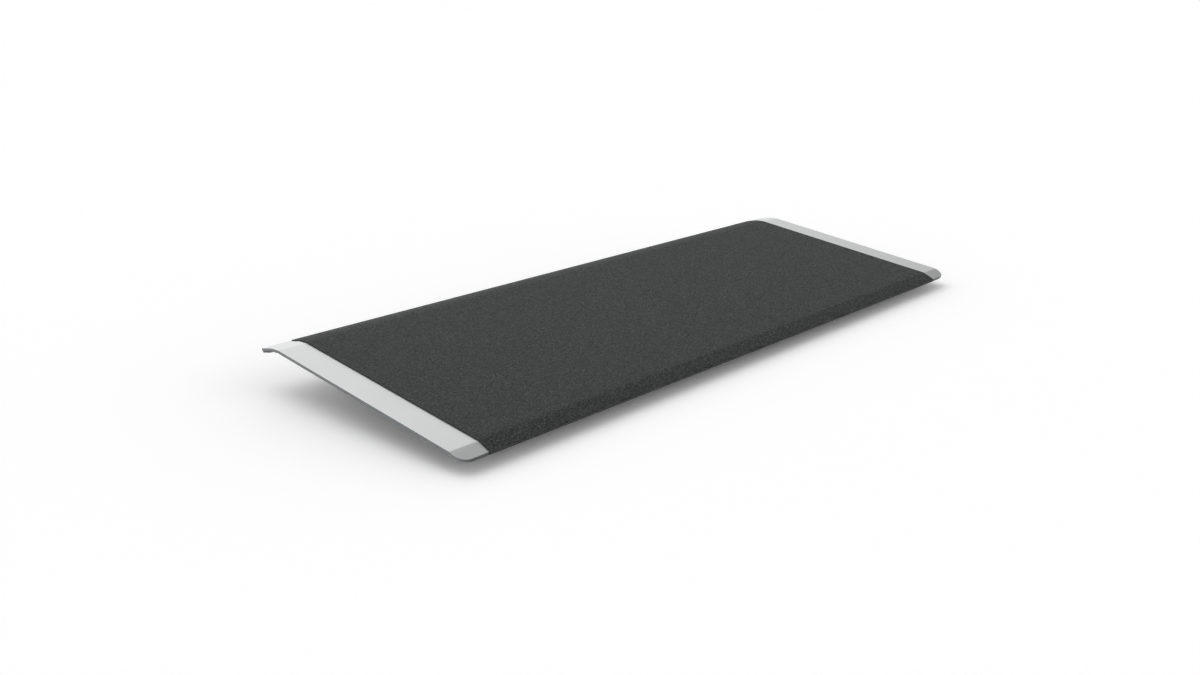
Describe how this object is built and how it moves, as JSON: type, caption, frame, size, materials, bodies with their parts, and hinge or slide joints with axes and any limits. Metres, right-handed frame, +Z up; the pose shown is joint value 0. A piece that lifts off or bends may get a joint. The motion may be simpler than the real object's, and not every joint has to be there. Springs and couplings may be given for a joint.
{
  "type": "threshold ramp",
  "caption": "Portable door threshold ramp: folded sheet metal plate with rounded corners, black grit grip sheet on top and rubber strips under the long edges.",
  "frame": {"origin": "on the floor, under the middle of the ramp's bounding box, with the ramp lying on the rubber strips under its two long edges", "axes": "+X along the ramp's long edges, +Y from the floor edge to the threshold edge, +Z up"},
  "size_m": [0.8, 0.2952, 0.0128],
  "materials": {
    "satin_aluminium": "satin, unpolished sheet with broken edges",
    "black_grit": "coarse mineral grit bonded on film, matt",
    "dark_rubber": "matt"
  },
  "bodies": {
    "root": {"deck_plate": "satin_aluminium", "grip_sheet": "black_grit", "floor_strip": "dark_rubber", "threshold_strip": "dark_rubber"}
  },
  "joints": []
}
